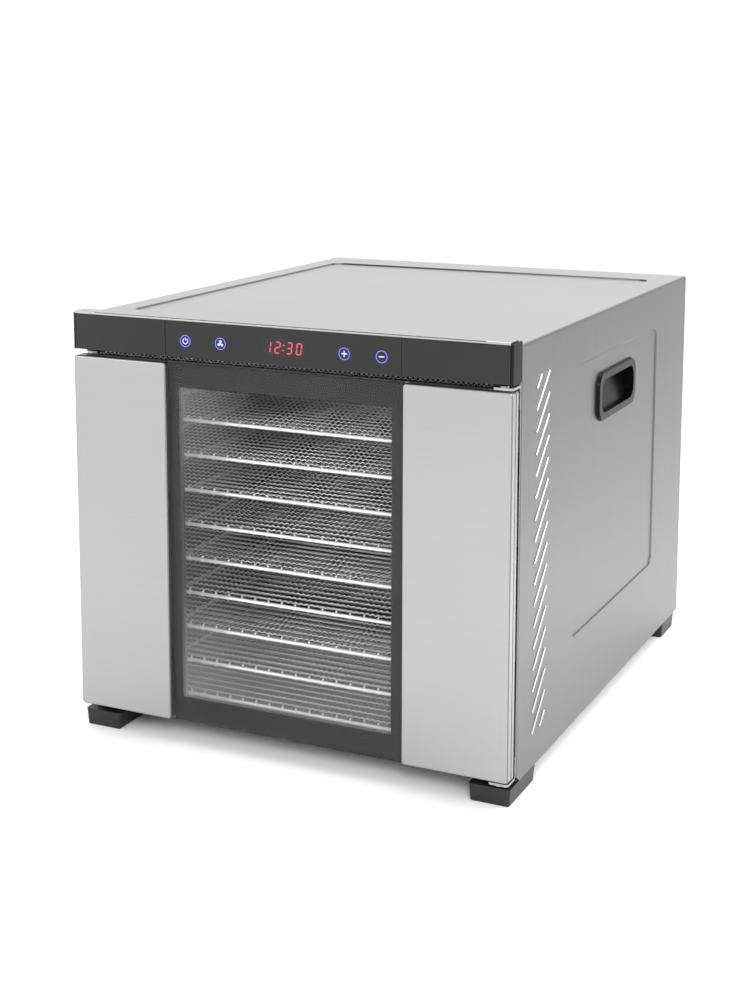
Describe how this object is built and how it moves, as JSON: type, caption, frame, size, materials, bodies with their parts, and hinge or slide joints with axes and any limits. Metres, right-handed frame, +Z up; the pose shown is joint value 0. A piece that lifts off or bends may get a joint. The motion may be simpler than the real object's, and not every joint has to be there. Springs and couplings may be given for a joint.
{
  "type": "food dehydrator",
  "caption": "Cabinet food dehydrator: brushed steel case, hinged glass door, sliding wire trays, rear fan and heater, black touch fascia, side finger grips.",
  "frame": {"origin": "on the floor, under the middle of the case's footprint", "axes": "+Z up, -Y out of the door side, +X to the user's right"},
  "size_m": [0.434, 0.541, 0.3995],
  "materials": {
    "brushed_case": "brushed",
    "brushed_door": "brushed",
    "inner_steel": "satin",
    "tray_steel": "polished",
    "screw_steel": "zinc plated",
    "motor_steel": "satin",
    "heater_tube": "heat darkened",
    "aluminium": "satin",
    "black_plastic": "fine texture",
    "dark_plastic": "fine texture",
    "white_plastic": "smooth",
    "black_gloss": "gloss",
    "circuit_board": "solder mask",
    "display": "gloss",
    "glass": "clear",
    "silicone": "smooth",
    "brass_pins": "plated"
  },
  "bodies": {
    "case": {"air_baffle": "inner_steel", "base_pan": "inner_steel", "board_components": "black_plastic", "board_spacers": "white_plastic", "chamber_back": "inner_steel", "chamber_ceiling": "inner_steel", "chamber_floor": "inner_steel", "chamber_wall_left": "inner_steel", "chamber_wall_right": "inner_steel", "control_fascia": "black_gloss", "display_board": "circuit_board", "display_module": "display", "door_magnets": "black_plastic", "fan_motor": "motor_steel", "fascia_caps": "black_plastic", "feet_front": "black_plastic", "feet_rear": "black_plastic", "foot_screws": "screw_steel", "front_frame": "inner_steel", "heating_element": "heater_tube", "hinge_bracket_lower": "screw_steel", "hinge_bracket_upper": "screw_steel", "hinge_pins": "screw_steel", "inlet_pins": "brass_pins", "outer_shell": "brushed_case", "power_board": "circuit_board", "power_inlet": "black_plastic", "rear_panel": "brushed_case", "rear_screws": "screw_steel", "side_handle_left": "black_plastic", "side_handle_right": "black_plastic", "temperature_probe": "screw_steel", "thermal_cutout": "motor_steel", "touch_panel": "black_gloss", "tray_rack_left": "inner_steel", "tray_rack_right": "inner_steel", "vent_grille": "inner_steel", "wiring": "black_plastic"},
    "door": {"door_stile_right": "brushed_door", "door_stile_left": "brushed_door", "door_pan": "brushed_door", "window_frame": "dark_plastic", "door_glass": "glass", "door_gasket": "silicone", "strike_plates": "screw_steel", "hinge_bushes": "white_plastic"},
    "fan": {"fan_impeller": "aluminium", "motor_shaft": "screw_steel", "hub_nut": "screw_steel"},
    "shelf_01": {"tray_01": "tray_steel"},
    "shelf_02": {"tray_02": "tray_steel"},
    "shelf_03": {"tray_03": "tray_steel"},
    "shelf_04": {"tray_04": "tray_steel"},
    "shelf_05": {"tray_05": "tray_steel"},
    "shelf_06": {"tray_06": "tray_steel"},
    "shelf_07": {"tray_07": "tray_steel"},
    "shelf_08": {"tray_08": "tray_steel"},
    "shelf_09": {"tray_09": "tray_steel"},
    "shelf_10": {"tray_10": "tray_steel"}
  },
  "joints": [
    {"name": "door_hinge", "type": "hinge", "parent": "case", "child": "door", "pos_m": [0.205, -0.2635, 0.19], "axis": [0, 0, 1], "range_deg": [0, 110]},
    {"name": "fan_spin", "type": "hinge", "parent": "case", "child": "fan", "pos_m": [0, 0.2295, 0.19], "axis": [0, 1, 0], "continuous": true},
    {"name": "tray_01_slide", "type": "slide", "parent": "case", "child": "shelf_01", "axis": [0, -1, 0], "range_m": [0, 0.024]},
    {"name": "tray_02_slide", "type": "slide", "parent": "case", "child": "shelf_02", "axis": [0, -1, 0], "range_m": [0, 0.024]},
    {"name": "tray_03_slide", "type": "slide", "parent": "case", "child": "shelf_03", "axis": [0, -1, 0], "range_m": [0, 0.024]},
    {"name": "tray_04_slide", "type": "slide", "parent": "case", "child": "shelf_04", "axis": [0, -1, 0], "range_m": [0, 0.024]},
    {"name": "tray_05_slide", "type": "slide", "parent": "case", "child": "shelf_05", "axis": [0, -1, 0], "range_m": [0, 0.024]},
    {"name": "tray_06_slide", "type": "slide", "parent": "case", "child": "shelf_06", "axis": [0, -1, 0], "range_m": [0, 0.024]},
    {"name": "tray_07_slide", "type": "slide", "parent": "case", "child": "shelf_07", "axis": [0, -1, 0], "range_m": [0, 0.024]},
    {"name": "tray_08_slide", "type": "slide", "parent": "case", "child": "shelf_08", "axis": [0, -1, 0], "range_m": [0, 0.024]},
    {"name": "tray_09_slide", "type": "slide", "parent": "case", "child": "shelf_09", "axis": [0, -1, 0], "range_m": [0, 0.024]},
    {"name": "tray_10_slide", "type": "slide", "parent": "case", "child": "shelf_10", "axis": [0, -1, 0], "range_m": [0, 0.024]}
  ]
}
